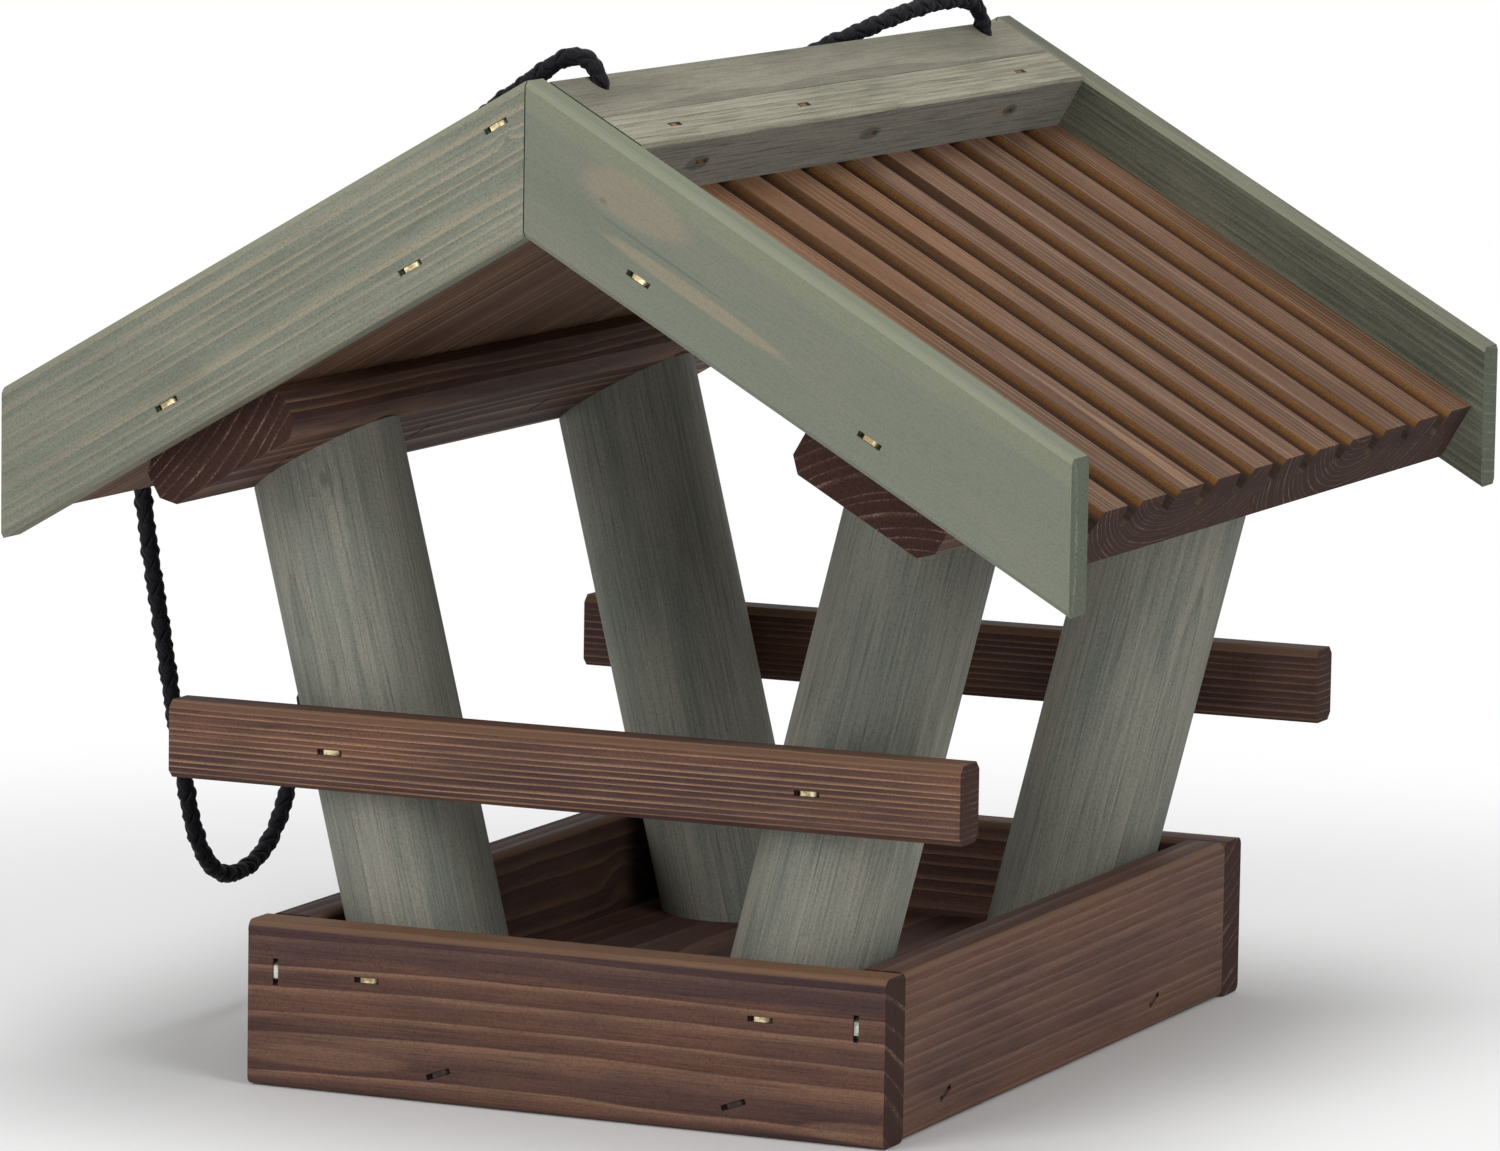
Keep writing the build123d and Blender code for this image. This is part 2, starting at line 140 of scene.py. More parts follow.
GREEN_STAIN = {
    "dark": "#777b6c",
    "middle": "#818576",
    "pale": "#8a8b7b",
    "early": "#6e7367",
    "late": "#9d937f",
    "late_from": 0.5,
    "late_full": 0.85,
    "uneven": 1.5,
    "edge": "#7f836d",
    "side": None,
    "end": "#5f6558",
    "end_late": "#858874",
    "fibre": 0.35,
    "fuzz": 0.6,
    "shine": 0.25,
}
SMOOTH_GREEN_STAIN = {
    **GREEN_STAIN,
    "dark": "#6e7467",
    "middle": "#71776a",
    "pale": "#75786b",
    "fibre": 0.12,
    "fuzz": 0.35,
}
ROUGH_GREEN_STAIN = {
    **GREEN_STAIN,
    "dark": "#54574b",
    "middle": "#696b5c",
    "pale": "#777867",
    "early": "#46493f",
    "late": "#827f6b",
    "fibre": 0.8,
}
RIDGE_STAIN = {
    **GREEN_STAIN,
    "dark": "#706e60",
    "middle": "#7e7b6c",
    "pale": "#8a8776",
    "early": "#6a695c",
    "late": "#989280",
    "edge": None,
    "fibre": 0.6,
}
RIDGE_STRIP_STAIN = {
    **RIDGE_STAIN,
    "dark": "#858371",
    "middle": "#94917f",
    "pale": "#9f9b89",
    "early": "#7a7a6b",
    "late": "#aca78f",
    "side": "#7f7d75",
    "fibre": 0.85,
}
POST_STAIN = {
    "dark": "#787d74",
    "middle": "#88897e",
    "pale": "#918f84",
    "early": "#60665d",
    "late": "#9a9587",
    "late_from": 0.6,
    "late_full": 0.9,
    "uneven": 2.2,
    "edge": None,
    "side": None,
    "end": "#5b5e58",
    "end_late": "#80827a",
    "fibre": 0.6,
    "fuzz": 0.6,
    "shine": 0.25,
}

# Grooves, in millimetres below the roof boards' face: their painted colour reaches just past their
# floor at 7 mm, and the colours of their walls are spread over a ramp that is a little longer. From
# the face down these are a painted highlight on the edge, orange-brown, partly the stain taken by
# the cut wood and partly painted light, and painted shade that goes nearly black
GROOVE_DEPTH = 7.2
RAMP_DEPTH = 8.0
GROOVE_WALL = [
    (0.0, "#96755a"),
    (0.06, "#7d5424"),
    (0.17, "#6f4719"),
    (0.26, "#44270f"),
    (0.36, "#22130b"),
]


def growth_rings(tree, local, stain, pith, ring, wander, knots):
    """The rings, drawn round the pith. Gives the vector by which places stray, the place seen from
    the pith, tooth, which runs from 0 to 1 through each ring, and the dark hearts of the knots."""
    # The rings stray slowly, over 250 mm along the grain and 80 mm across it. The noise seldom
    # goes more than a quarter either way, so four times it strays by about wander.
    stray = add(tree, "ShaderNodeMapping", {"Scale": (0.004, 0.0125, 0.0125)}, Vector=local)
    stray = add(
        tree, "ShaderNodeTexNoise", {"Scale": 1.0, "Detail": 5.0, "Roughness": 0.42}, Vector=stray
    ).outputs["Color"]
    stray = add(tree, "ShaderNodeVectorMath", {"operation": "SUBTRACT", 1: (0.5, 0.5, 0.5)}, i0=stray)
    stray = add(tree, "ShaderNodeVectorMath", {"operation": "SCALE", "Scale": 4 * wander}, i0=stray)
    bent = add(tree, "ShaderNodeVectorMath", {"operation": "ADD"}, i0=local, i1=stray)
    pith_y, pith_z, roundness = pith
    from_pith = {"operation": "SUBTRACT", 1: (0.0, pith_y, pith_z)}
    bent = add(tree, "ShaderNodeVectorMath", from_pith, i0=bent)
    flatten = {"operation": "MULTIPLY", 1: (0.0, roundness, 1.0)}
    cross = add(tree, "ShaderNodeVectorMath", flatten, i0=bent)
    radius = add(tree, "ShaderNodeVectorMath", {"operation": "LENGTH"}, i0=cross).outputs["Value"]

    # A knot pushes the rings aside and has a dark heart of its own
    heart = None
    for knot_x, knot_y, knot_z, size in knots:
        from_knot = {"operation": "SUBTRACT", 1: (knot_x, knot_y, knot_z)}
        away = add(tree, "ShaderNodeVectorMath", from_knot, i0=local)
        stretch = {"operation": "MULTIPLY", 1: (0.6, 1.0, 1.0)}
        away = add(tree, "ShaderNodeVectorMath", stretch, i0=away)
        reach = add(tree, "ShaderNodeVectorMath", {"operation": "LENGTH"}, i0=away).outputs["Value"]
        swell = add(
            tree,
            "ShaderNodeMapRange",
            {"interpolation_type": "SMOOTHERSTEP", 1: 0.0, 2: size * 3.5, 3: size * 1.2, 4: 0.0},
            i0=reach,
        )
        radius = add(tree, "ShaderNodeMath", {"operation": "ADD"}, i0=radius, i1=swell)
        dark = add(
            tree,
            "ShaderNodeMapRange",
            {"interpolation_type": "SMOOTHSTEP", 1: size * 0.3, 2: size, 3: 0.7, 4: 0.0},
            i0=reach,
        )
        if heart is not None:
            dark = add(tree, "ShaderNodeMath", {"operation": "MAXIMUM"}, i0=heart, i1=dark)
        heart = dark

    # Their widths vary, over about three rings at a time
    uneven = add(tree, "ShaderNodeMath", {"operation": "MULTIPLY", 1: 0.37 / ring}, i0=radius)
    uneven = add(
        tree, "ShaderNodeTexNoise", {"noise_dimensions": "1D", "Scale": 1.0, "Detail": 1.0}, W=uneven
    )
    uneven = add(tree, "ShaderNodeMath", {"operation": "MULTIPLY", 1: stain["uneven"]}, i0=uneven)
    per_ring = {"operation": "MULTIPLY_ADD", 1: 1.0 / ring}
    count = add(tree, "ShaderNodeMath", per_ring, i0=radius, i2=uneven)
    tooth = add(tree, "ShaderNodeMath", {"operation": "FRACT"}, i0=count)
    return stray, bent, tooth, heart


def soaked_stain(tree, stain, figure, bent, tooth):
    """The stain's colour on planed wood. Gives it with the two patterns that made it cloudy and
    patchy."""
    # Clouds 80 mm long and 14 mm wide, where it soaked in more or less
    cloud = add(tree, "ShaderNodeMapping", {"Scale": (0.012, 0.07, 0.07)}, Vector=bent)
    cloud = add(
        tree, "ShaderNodeTexNoise", {"Scale": 1.0, "Detail": 4.0, "Roughness": 0.6}, Vector=cloud
    )
    soaked = {"stops": [(0.36, stain["dark"]), (0.5, stain["middle"]), (0.64, stain["pale"])]}
    colour = add(tree, "ShaderNodeValToRGB", soaked, Fac=cloud)

    # Each ring starts deep and ends in a pale hard line, and the lines fade in and out, over
    # 50 mm along the grain and 8 mm across it
    patchy = add(tree, "ShaderNodeMapping", {"Scale": (0.02, 0.12, 0.12)}, Vector=bent)
    patchy = add(tree, "ShaderNodeTexNoise", {"Scale": 1.0, "Detail": 3.0}, Vector=patchy)
    fade = add(tree, "ShaderNodeMapRange", {1: 0.35, 2: 0.6, 3: 0.45 * figure, 4: figure}, i0=patchy)
    early_stops = [(0.0, "#dddddd"), (0.06, "#999999"), (0.35, "#000000")]
    late_stops = [
        (stain["late_from"], "#000000"),
        (stain["late_full"], "#ffffff"),
        (0.95, "#ffffff"),
        (1.0, "#000000"),
    ]
    for stops, tone in ((early_stops, stain["early"]), (late_stops, stain["late"])):
        mask = add(tree, "ShaderNodeValToRGB", {"stops": stops}, Fac=tooth)
        mask = add(tree, "ShaderNodeMath", {"operation": "MULTIPLY"}, i0=mask, i1=fade)
        colour = add(
            tree, "ShaderNodeMix", {"data_type": "RGBA", 7: linear(tone)}, i0=mask, i6=colour
        ).outputs[2]
    return colour, cloud, patchy


def stain_and_painted_light_patch(tree, colour, patch, local, ragged, cloud):
    """The colour with a ragged patch of another tone on it."""
    patch_x, patch_z, half_length, half_width, strength, tone = patch
    # How far out in half sizes, made ragged by the straying and by the clouds, which add about a
    # half, so its edge lies where this passes from 1.15 to 1.45
    from_patch = {"operation": "SUBTRACT", 1: (patch_x, 0.0, patch_z)}
    away = add(tree, "ShaderNodeVectorMath", from_patch, i0=local)
    by_size = {"operation": "MULTIPLY", 1: (1 / half_length, 0.0, 1 / half_width)}
    away = add(tree, "ShaderNodeVectorMath", by_size, i0=away)
    away = add(tree, "ShaderNodeVectorMath", {"operation": "ADD"}, i0=away, i1=ragged)
    away = add(tree, "ShaderNodeVectorMath", {"operation": "LENGTH"}, i0=away).outputs["Value"]
    away = add(tree, "ShaderNodeMath", {"operation": "ADD"}, i0=away, i1=cloud)
    mask = add(
        tree,
        "ShaderNodeMapRange",
        {"interpolation_type": "SMOOTHSTEP", 1: 1.15, 2: 1.45, 3: strength, 4: 0.0},
        i0=away,
    )
    return add(
        tree, "ShaderNodeMix", {"data_type": "RGBA", 7: linear(tone)}, i0=mask, i6=colour
    ).outputs[2]


def grooves_with_painted_light_and_shade(tree, colour, local, groove_top, cloud, speckle):
    """The colour with the grooves painted in: a painted highlight along their edges, orange-brown
    upper walls, partly the stain taken by the cut wood and partly painted light, and painted shade
    that goes nearly black at the bottom, darker in some grooves than others. groove_top is the local Z
    of the face they are cut in."""
    depth = add(tree, "ShaderNodeSeparateXYZ", Vector=local).outputs["Z"]
    depth = add(tree, "ShaderNodeMath", {"operation": "SUBTRACT", 0: groove_top}, i1=depth)
    deep = add(tree, "ShaderNodeMath", {"operation": "MULTIPLY", 1: 1 / RAMP_DEPTH}, i0=depth)
    wall = add(tree, "ShaderNodeValToRGB", {"stops": GROOVE_WALL}, Fac=deep)
    wall = add(
        tree,
        "ShaderNodeMix",
        {"data_type": "RGBA", "blend_type": "MULTIPLY", 0: 0.85},
        i6=wall,
        i7=speckle,
    ).outputs[2]
    dim = add(tree, "ShaderNodeMapRange", {1: 0.42, 2: 0.62, 3: 0.0, 4: 0.75}, i0=cloud)
    wall = add(
        tree, "ShaderNodeMix", {"data_type": "RGBA", 7: linear("#3a2516")}, i0=dim, i6=wall
    ).outputs[2]
    # It sets in over the first third of a millimetre
    inside = add(
        tree,
        "ShaderNodeMapRange",
        {"interpolation_type": "SMOOTHSTEP", 1: 0.02, 2: 0.35, 3: 0.0, 4: 0.92},
        i0=depth,
    )
    down_to_floor = {1: GROOVE_DEPTH, 2: GROOVE_DEPTH + 0.2, 3: 1.0, 4: 0.0}
    above_floor = add(tree, "ShaderNodeMapRange", down_to_floor, i0=depth)
    inside = add(tree, "ShaderNodeMath", {"operation": "MULTIPLY"}, i0=inside, i1=above_floor)
    return add(
        tree, "ShaderNodeMix", {"data_type": "RGBA"}, i0=inside, i6=colour, i7=wall
    ).outputs[2]


def end_grain(tree, stain, tooth, patchy, fuzz, speckle):
    """End grain's colour: it drinks more stain and goes darker, and the saw tears its pale lines
    into short bits."""
    late_line = [(0.78, "#000000"), (0.92, "#ffffff"), (1.0, "#000000")]
    line = add(tree, "ShaderNodeValToRGB", {"stops": late_line}, Fac=tooth)
    broken = add(tree, "ShaderNodeMapRange", {1: 0.44, 2: 0.6, 3: 0.25, 4: 1.0}, i0=patchy)
    torn = add(tree, "ShaderNodeMapRange", {1: 0.4, 2: 0.58, 3: 0.15, 4: 1.0}, i0=fuzz)
    for gaps in (broken, torn):
        line = add(tree, "ShaderNodeMath", {"operation": "MULTIPLY"}, i0=line, i1=gaps)
    colour = add(
        tree,
        "ShaderNodeMix",
        {"data_type": "RGBA", 6: linear(stain["end"]), 7: linear(stain["end_late"])},
        i0=line,
    ).outputs[2]
    return add(
        tree,
        "ShaderNodeMix",
        {"data_type": "RGBA", "blend_type": "MULTIPLY", 0: 1.0},
        i6=colour,
        i7=speckle,
    ).outputs[2]


def stained_pine(name, stain, turn, pith, ring, figure, wander, knots, patches, groove_top):
    """Stained pine for one piece. turn brings the grain onto local X, pith is the ring centre in
    local Y and Z and how round the rings are, ring is their mean spacing and wander how far they
    stray, all in millimetres. figure is how much they show. groove_top is a grooved face's local Z."""
    material, tree, shader = new_material(name)
    place = add(tree, "ShaderNodeTexCoord").outputs["Object"]
    to_grain = {"vector_type": "TEXTURE", "Rotation": turn}
    local = add(tree, "ShaderNodeMapping", {**to_grain, "Scale": (MM, MM, MM)}, Vector=place)
    stray, bent, tooth, heart = growth_rings(tree, local, stain, pith, ring, wander, knots)
    colour, cloud, patchy = soaked_stain(tree, stain, figure, bent, tooth)

    # Which way the surface faces, in the grain's own directions
    normal = add(tree, "ShaderNodeNewGeometry").outputs["Normal"]
    normal = add(tree, "ShaderNodeMapping", to_grain, Vector=normal)
    upward = add(tree, "ShaderNodeSeparateXYZ", Vector=normal).outputs["Z"]
    facing = add(tree, "ShaderNodeVectorMath", {"operation": "ABSOLUTE"}, i0=normal)
    facing = add(tree, "ShaderNodeSeparateXYZ", Vector=facing)

    if stain["side"]:
        # The sawn side is left rough and weathers darker
        sawn = add(
            tree,
            "ShaderNodeMapRange",
            {"interpolation_type": "SMOOTHSTEP", 1: 0.75, 2: 0.9, 3: 0.0, 4: 0.85},
            i0=facing.outputs["Y"],
        )
        side = {"data_type": "RGBA", 7: linear(stain["side"])}
        colour = add(tree, "ShaderNodeMix", side, i0=sawn, i6=colour).outputs[2]
    if patches:
        unit_stray = {"operation": "SCALE", "Scale": 0.3 / wander}
        ragged = add(tree, "ShaderNodeVectorMath", unit_stray, i0=stray)
        for patch in patches:
            colour = stain_and_painted_light_patch(tree, colour, patch, local, ragged, cloud)

    # Fibres 0.5 mm across and 25 mm long, drawn a little coarser than real ones so that they show,
    # and sanding fuzz, a speckle of 0.6 mm
    fibre = add(tree, "ShaderNodeMapping", {"Scale": (0.04, 2.0, 2.0)}, Vector=local)
    fibre = add(
        tree, "ShaderNodeTexNoise", {"Scale": 1.0, "Detail": 3.0, "Roughness": 0.65}, Vector=fibre
    )
    fuzz = add(
        tree, "ShaderNodeTexNoise", {"Scale": 1.6, "Detail": 3.0, "Roughness": 0.75}, Vector=local
    )
    for pattern, strength, deep in (
        (fibre, stain["fibre"], "#a2a2a2"),
        (fuzz, stain["fuzz"], "#b4b4b4"),
    ):
        stops = [(0.32, deep), (0.5, "#efefef"), (0.66, "#ffffff")]
        speckle = add(tree, "ShaderNodeValToRGB", {"stops": stops}, Fac=pattern)
        colour = add(
            tree,
            "ShaderNodeMix",
            {"data_type": "RGBA", "blend_type": "MULTIPLY", 0: strength},
            i6=colour,
            i7=speckle,
        ).outputs[2]

    # The grooves' painted highlight, painted light on their walls and painted shade deeper down
    if groove_top is not None:
        colour = grooves_with_painted_light_and_shade(tree, colour, local, groove_top, cloud, speckle)
    if stain["edge"]:
        # Bevels on top are planed last and take the stain thinly
        bevel = add(
            tree, "ShaderNodeMath", {"operation": "MULTIPLY"}, i0=facing.outputs["Y"], i1=upward
        )
        bevel = add(
            tree,
            "ShaderNodeMapRange",
            {"interpolation_type": "SMOOTHSTEP", 1: 0.2, 2: 0.45, 3: 0.0, 4: 0.65},
            i0=bevel,
        )
        edge = {"data_type": "RGBA", 7: linear(stain["edge"])}
        colour = add(tree, "ShaderNodeMix", edge, i0=bevel, i6=colour).outputs[2]

    # Where the surface looks along the grain it is end grain
    is_end = add(
        tree,
        "ShaderNodeMapRange",
        {"interpolation_type": "SMOOTHSTEP", 1: 0.6, 2: 0.9, 3: 0.0, 4: 0.94},
        i0=facing.outputs["X"],
    )
    end_colour = end_grain(tree, stain, tooth, patchy, fuzz, speckle)
    colour = add(
        tree, "ShaderNodeMix", {"data_type": "RGBA"}, i0=is_end, i6=colour, i7=end_colour
    ).outputs[2]
    if heart is not None:
        dark = {"data_type": "RGBA", 7: linear(stain["end"])}
        colour = add(tree, "ShaderNodeMix", dark, i0=heart, i6=colour).outputs[2]
    tree.links.new(colour, shader.inputs["Base Color"])

    # Early wood is matt and end grain more so, late wood smoother and a little proud. The fibres'
    # relief is up to 0.2 mm deep, more than the real one, so that it shows.
    rough = add(tree, "ShaderNodeMapRange", {1: 0.0, 2: 1.0, 3: 0.82, 4: 0.66}, i0=tooth)
    rougher_end = {"operation": "MULTIPLY_ADD", 1: 0.3, "use_clamp": True}
    rough = add(tree, "ShaderNodeMath", rougher_end, i0=is_end, i2=rough)
    tree.links.new(rough.outputs[0], shader.inputs["Roughness"])
    relief = add(tree, "ShaderNodeMath", {"operation": "MULTIPLY_ADD", 1: 0.35}, i0=tooth, i2=fibre)
    relief = add(tree, "ShaderNodeMath", {"operation": "MULTIPLY_ADD", 1: 0.6}, i0=fuzz, i2=relief)
    bump = add(tree, "ShaderNodeBump", {"Strength": 0.45, "Distance": 0.22 * MM}, Height=relief)
    tree.links.new(bump.outputs["Normal"], shader.inputs["Normal"])
    shader.inputs["Specular IOR Level"].default_value = stain["shine"]
    return material


def finish_node(name, material):
    """Gives a piece of the frame its material."""
    mesh = nodes[name].data
    mesh.materials.clear()
    mesh.materials.append(material)


# Turns that bring a piece's grain onto its own X, and the roof boards' faces in their frames, in
# millimetres
ALONG_X = (0, 0, 0)
ALONG_Y = (0, 0, math.pi / 2)
DOWN_RIGHT = (0, ROOF_PITCH, 0)
DOWN_LEFT = (0, -ROOF_PITCH, 0)
UP_RIGHT_POST = (0, -(math.pi / 2 - POST_LEAN), 0)
UP_LEFT_POST = (0, -(math.pi / 2 + POST_LEAN), 0)
ALONG_RIGHT_SLOPE = (ROOF_PITCH, 0, math.pi / 2)
ALONG_LEFT_SLOPE = (-ROOF_PITCH, 0, math.pi / 2)
ROOF_FACE_RIGHT = 212.1
ROOF_FACE_LEFT = 209.8

# Every wooden piece: stain, direction of its grain, pith in its own frame and how round the rings
# are, ring spacing, how much the rings show and how far they stray, with lengths in millimetres
woods = {
    "tray_front_board": (BROWN_STAIN, ALONG_X, (-150, -40, 1), 6.5, 0.75, 3.0),
    "tray_rear_board": (BROWN_STAIN, ALONG_X, (90, 90, 1), 4.0, 0.8, 3.0),
    "tray_left_board": (BROWN_STAIN, ALONG_Y, (10, 90, 1), 5.5, 1.0, 3.0),
    "tray_right_board": (BROWN_STAIN, ALONG_Y, (-140, -120, 1), 3.0, 0.5, 1.5),
    "tray_floor": (BROWN_STAIN, ALONG_Y, (20, -60, 1), 5.0, 0.5, 3.0),
    "rail_front": (STREAKED_BROWN_STAIN, ALONG_X, (-116, 220, 1), 1.7, 0.9, 0.8),
    "rail_rear": (STREAKED_BROWN_STAIN, ALONG_X, (116, 200, 1), 1.9, 0.8, 0.8),
    "purlin_left": (STREAKED_BROWN_STAIN, ALONG_LEFT_SLOPE, (42, 293, 1), 2.8, 1.0, 2.0),
    "purlin_right": (BROWN_STAIN, ALONG_RIGHT_SLOPE, (-36, 141, 1), 3.0, 0.9, 2.0),
    "roof_board_front_left": (ROOF_STAIN, DOWN_LEFT, (-75, 230, 0.6), 1.5, 0.9, 1.0),
    "roof_board_rear_left": (ROOF_STAIN, DOWN_LEFT, (60, 226, 0.6), 1.5, 0.9, 1.0),
    "roof_board_front_right": (ROOF_STAIN, DOWN_RIGHT, (-66, 221, 0.45), 1.1, 0.9, 0.8),
    "roof_board_rear_right": (ROOF_STAIN, DOWN_RIGHT, (62, 219, 0.55), 1.7, 0.9, 1.0),
    "post_front_left": (POST_STAIN, UP_LEFT_POST, (-60, 30, 1), 1.3, 0.5, 0.7),
    "post_front_right": (POST_STAIN, UP_RIGHT_POST, (-160, 40, 1), 1.3, 0.55, 0.7),
    "post_rear_left": (POST_STAIN, UP_LEFT_POST, (60, 40, 1), 1.3, 0.55, 0.7),
    "post_rear_right": (POST_STAIN, UP_RIGHT_POST, (130, 30, 1), 1.3, 0.6, 0.7),
    "bargeboard_front_left": (GREEN_STAIN, DOWN_LEFT, (-160, 330, 1), 3.3, 0.8, 1.6),
    "bargeboard_front_right": (SMOOTH_GREEN_STAIN, DOWN_RIGHT, (-250, 212, 1), 12.0, 0.15, 1.6),
    "bargeboard_rear_left": (GREEN_STAIN, DOWN_LEFT, (260, 180, 1), 3.6, 0.7, 2.0),
    "bargeboard_rear_right": (ROUGH_GREEN_STAIN, DOWN_RIGHT, (160, 330, 1), 2.2, 0.6, 1.2),
    "ridge_board": (RIDGE_STAIN, ALONG_LEFT_SLOPE, (160, 150, 1), 5.0, 0.4, 3.0),
    "ridge_strip": (RIDGE_STRIP_STAIN, ALONG_RIGHT_SLOPE, (230, 200, 1), 2.0, 0.6, 1.5),
}

# Knots, in the same frames: place along, across and through, and radius
wood_knots = {
    "tray_left_board": ((75.6, 75.5, 25.5, 3.2),),
    "bargeboard_front_left": ((121.5, -155.5, 215.2, 0.9),),
    "bargeboard_front_right": ((-96.3, -155.5, 213.8, 1.0),),
    "post_front_left": ((168, -109.5, 35.3, 1.8),),
}

# Patches, in the same frames: place along and up, half length, half width, strength and colour.
# The long ones are bands that run the whole length of a board. Some are painted light and some
# painted shade, as said at each.
wood_patches = {
    "tray_front_board": (
        # A darker band just below the top
        (0, 38, 400, 6, 0.55, "#3a292d"),
        # Painted light: a lighter band along the top, for light falling on it from the front
        (0, 43.8, 400, 2.6, 0.9, "#8f6a4f"),
        (-70, 8.5, 30, 3.4, 0.4, BROWN_STAIN["late"]),
        (84, 3.5, 22, 3.0, 0.45, BROWN_STAIN["late"]),
    ),
    # Painted shade: the whole board is darkened to near black, for the deep shade on its inner face
    "tray_left_board": ((0, 25, 400, 60, 0.5, "#20120f"),),
    "purlin_left": ((0, 0, 900, 900, 0.25, "#2a1a18"),),
    "tray_right_board": ((0, 15, 400, 40, 0.2, "#7a5a49"),),
    "rail_rear": ((0, 90, 400, 60, 0.45, "#2a1a18"),),
    "roof_board_front_right": ((-85, 212, 60, 60, 0.3, "#8a5c30"),),
    # Painted shade: the post's upper part is darkened, where the roof shades it
    "post_front_right": ((150, 100, 75, 400, 0.5, "#40403a"),),
    # Darker towards its lower end
    "bargeboard_front_left": ((-40, 205, 60, 60, 0.25, "#585d53"),),
    "bargeboard_front_right": (
        # Partly painted light: a lighter, yellower band along the top, partly for its grain and partly
        # for the light from above
        (-45, 225, 400, 4.5, 0.3, "#878a6c"),
        (-92, 218.5, 24, 6.5, 0.36, "#9c8a75"),
        (-66, 207.5, 34, 2.2, 0.45, "#a08f77"),
        (-78, 210.6, 26, 0.45, 0.45, "#575d54"),
    ),
    "ridge_strip": (
        (-104, 219.9, 8, 2.5, 0.6, "#3c4340"),
        (3, 219.9, 9, 2.5, 0.6, "#3c4340"),
        (98, 219.9, 7, 2.5, 0.6, "#3c4340"),
    ),
}
for name, (stain, turn, pith, ring, figure, wander) in woods.items():
    kind = "brown" if stain in (BROWN_STAIN, STREAKED_BROWN_STAIN, ROOF_STAIN) else "green_grey"
    groove_top = None
    if stain is ROOF_STAIN:
        groove_top = ROOF_FACE_LEFT if turn is DOWN_LEFT else ROOF_FACE_RIGHT
    wood = stained_pine(
        "stained_pine_%s_%s" % (kind, name),
        stain,
        turn,
        pith,
        ring,
        figure,
        wander,
        wood_knots.get(name, ()),
        wood_patches.get(name, ()),
        groove_top,
    )
    finish_node(name, wood)


def staple_wire(name, dull, bright, metallic, roughness):
    """Steel wire, drawn round and flattened at the crown, so it glints, with 2 mm spots of grime."""
    material, tree, shader = new_material(name)
    place = add(tree, "ShaderNodeTexCoord").outputs["Object"]
    grime = add(tree, "ShaderNodeTexNoise", {"Scale": 500.0, "Detail": 2.0}, Vector=place)
    tone = add(tree, "ShaderNodeValToRGB", {"stops": [(0.4, dull), (0.6, bright)]}, Fac=grime)
    tree.links.new(tone.outputs[0], shader.inputs["Base Color"])
    shader.inputs["Metallic"].default_value = metallic
    shader.inputs["Roughness"].default_value = roughness
    return material


# Most staples are lacquered brassy or plated with zinc. Some took the stain and went dark, and
# those in the ridge have begun to rust.
staple_finishes = {
    "brassy": staple_wire("lacquered_steel_wire", "#8f7f5c", "#cfc3a0", 1.0, 0.35),
    "silvery": staple_wire("zinc_plated_steel_wire", "#8f8d88", "#c8c7c2", 1.0, 0.32),
    "stained": staple_wire("stained_steel_wire", "#231614", "#3d2a26", 0.4, 0.6),
    "rusty": staple_wire("rusting_steel_wire", "#3f2812", "#80551f", 0.1, 0.7),
}
staple_groups = {
    "tray_corner_staples": "silvery",
    "tray_post_staples": "brassy",
    "tray_floor_staples": "stained",
    "rail_staples": "brassy",
    "bargeboard_staples": "brassy",
    "ridge_staples": "rusty",
    "purlin_roof_staples": "silvery",
    "purlin_post_staples": "silvery",
}
for name, finish in staple_groups.items():
    finish_node(name, staple_finishes[finish])

# The rope's route, as in the part's source. Being soft it hangs a little differently here: the
# front arch is 2 mm lower and the rear stretch up to 4.5 mm further back.
rope_route = [
    Vector(point) * MM
    for point in (
        (6.63, -122.4, 242.8),
        (6.63, -122.4, 250.4),
        (6.8, -122.3, 257.6),
        (6.4, -122.3, 262.0),
        (2.4, -122.2, 265.7),
        (-3.2, -122.0, 265.0),
        (-8.8, -121.6, 261.4),
        (-15.0, -121.0, 257.2),
        (-24.0, -119.5, 251.2),
        (-35.0, -117.0, 243.0),
        (-46.0, -113.5, 232.5),
        (-58.0, -109.5, 217.5),
        (-76.0, -104.0, 203.0),
        (-104.0, -94.0, 186.2),
        (-129.0, -85.5, 172.6),
        (-142.5, -81.8, 164.5),
        (-143.2, -80.5, 150.0),
        (-141.8, -77.4, 128.0),
        (-141.8, -68.2, 100.0),
        (-141.8, -58.6, 68.0),
        (-141.8, -50.2, 46.5),
        (-141.8, -37.0, 35.6),
        (-141.8, -18.5, 35.9),
        (-141.8, -4.0, 43.8),
        (-141.8, 6.0, 61.0),
        (-141.8, 18.5, 94.0),
        (-141.8, 24.5, 126.0),
        (-143.2, 26.0, 149.0),
        (-142.5, 26.6, 164.5),
        (-129.0, 27.6, 172.6),
        (-104.0, 31.5, 186.2),
        (-76.0, 38.0, 203.0),
        (-58.0, 43.0, 217.5),
        (-46.0, 46.5, 232.5),
        (-35.0, 50.0, 243.0),
        (-23.0, 54.5, 251.0),
        (-13.0, 61.0, 257.3),
        (-5.6, 71.0, 261.6),
        (-1.6, 84.0, 264.9),
        (1.2, 98.0, 267.2),
        (3.6, 110.5, 268.2),
        (5.6, 119.5, 267.3),
        (6.5, 124.2, 263.0),
        (6.8, 124.7, 257.6),
        (6.63, 124.8, 250.4),
        (6.63, 124.8, 242.8),
    )
]


